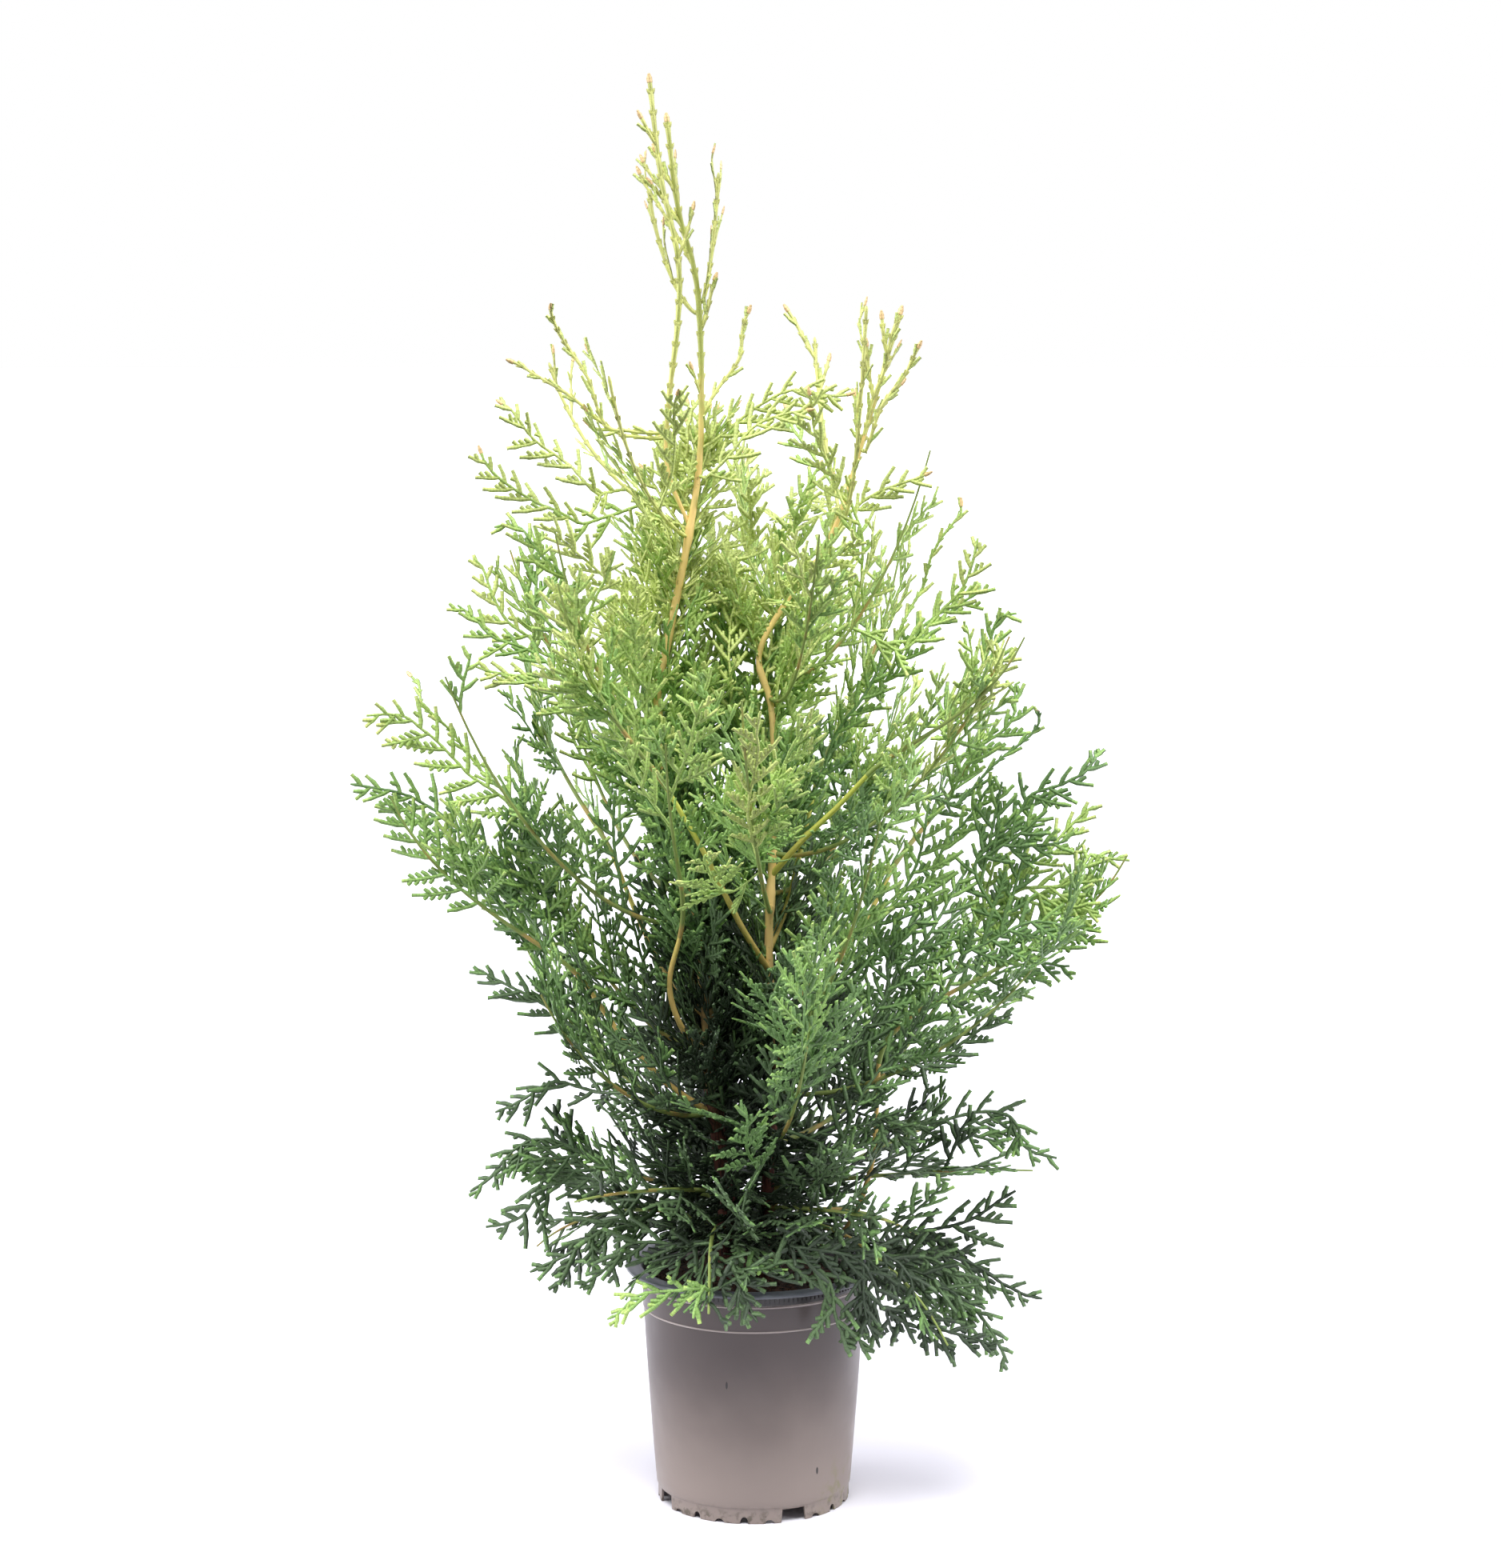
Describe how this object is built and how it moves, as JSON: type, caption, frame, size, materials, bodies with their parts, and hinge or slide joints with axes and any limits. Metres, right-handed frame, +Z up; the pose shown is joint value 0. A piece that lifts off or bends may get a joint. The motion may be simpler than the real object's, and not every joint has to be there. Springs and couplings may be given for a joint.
{
  "type": "potted brabant arborvitae",
  "caption": "Young upright conifer with flat scale-leaved sprays on ascending boughs, standing in a taupe plastic nursery pot with a flat rim and a notched foot.",
  "frame": {"origin": "centre of the flat underside of the pot", "axes": "+Z up, -Y towards the pictured front, +X to the right seen from the front"},
  "size_m": [0.5702, 0.4164, 1.0421],
  "materials": {
    "pot_plastic": "satin moulded polypropylene, taupe",
    "peat": "dark peat with bark crumbs",
    "old_bark": "thin red-brown flaking bark",
    "young_bark": "smooth orange-tan young bark",
    "foliage_deep": "deep green scale leaves",
    "foliage_fresh": "fresh green scale leaves",
    "foliage_lime": "yellow-green scale leaves of the young shoots"
  },
  "bodies": {
    "root": {"pot": "pot_plastic", "soil": "peat", "trunk": "old_bark", "right_stem": "young_bark", "left_leader": "young_bark", "tan_bough": "young_bark", "tan_bough_mass": "foliage_fresh", "yellow_bough": "young_bark", "yellow_bough_mass": "foliage_fresh", "left_bough": "young_bark", "left_bough_mass": "foliage_fresh", "right_fork": "young_bark", "right_fork_mass": "foliage_lime", "upper_right_bough": "young_bark", "upper_right_bough_mass": "foliage_fresh", "right_low_bough": "young_bark", "right_low_bough_mass": "foliage_fresh", "back_bough": "young_bark", "back_bough_mass": "foliage_fresh", "back_left_bough": "young_bark", "back_left_bough_mass": "foliage_fresh", "back_right_bough": "young_bark", "back_right_bough_mass": "foliage_fresh", "skirt_mass_1": "foliage_deep", "skirt_mass_2": "foliage_deep", "skirt_mass_3": "foliage_deep", "skirt_mass_4": "foliage_deep", "skirt_mass_5": "foliage_deep", "low_mass_1": "foliage_deep", "low_mass_2": "foliage_deep", "low_mass_3": "foliage_deep", "low_mass_4": "foliage_deep", "low_mass_5": "foliage_deep", "low_mass_6": "foliage_deep", "flank_mass_1": "foliage_deep", "flank_mass_2": "foliage_deep", "flank_mass_3": "foliage_deep", "flank_mass_4": "foliage_deep", "flank_mass_5": "foliage_deep", "flank_mass_6": "foliage_deep", "shoulder_mass_1": "foliage_fresh", "shoulder_mass_2": "foliage_fresh", "shoulder_mass_3": "foliage_fresh", "shoulder_mass_4": "foliage_fresh", "shoulder_mass_5": "foliage_fresh", "inner_mass_1": "foliage_fresh", "inner_mass_2": "foliage_fresh", "inner_mass_3": "foliage_fresh", "upper_mass_1": "foliage_lime", "upper_mass_2": "foliage_lime", "upper_mass_3": "foliage_lime", "upper_mass_4": "foliage_lime", "upper_mass_5": "foliage_lime", "top_mass_1": "foliage_lime", "top_mass_2": "foliage_lime", "top_mass_3": "foliage_lime", "top_mass_4": "foliage_lime", "crest_mass_1": "foliage_lime", "crest_mass_2": "foliage_lime"}
  },
  "joints": []
}
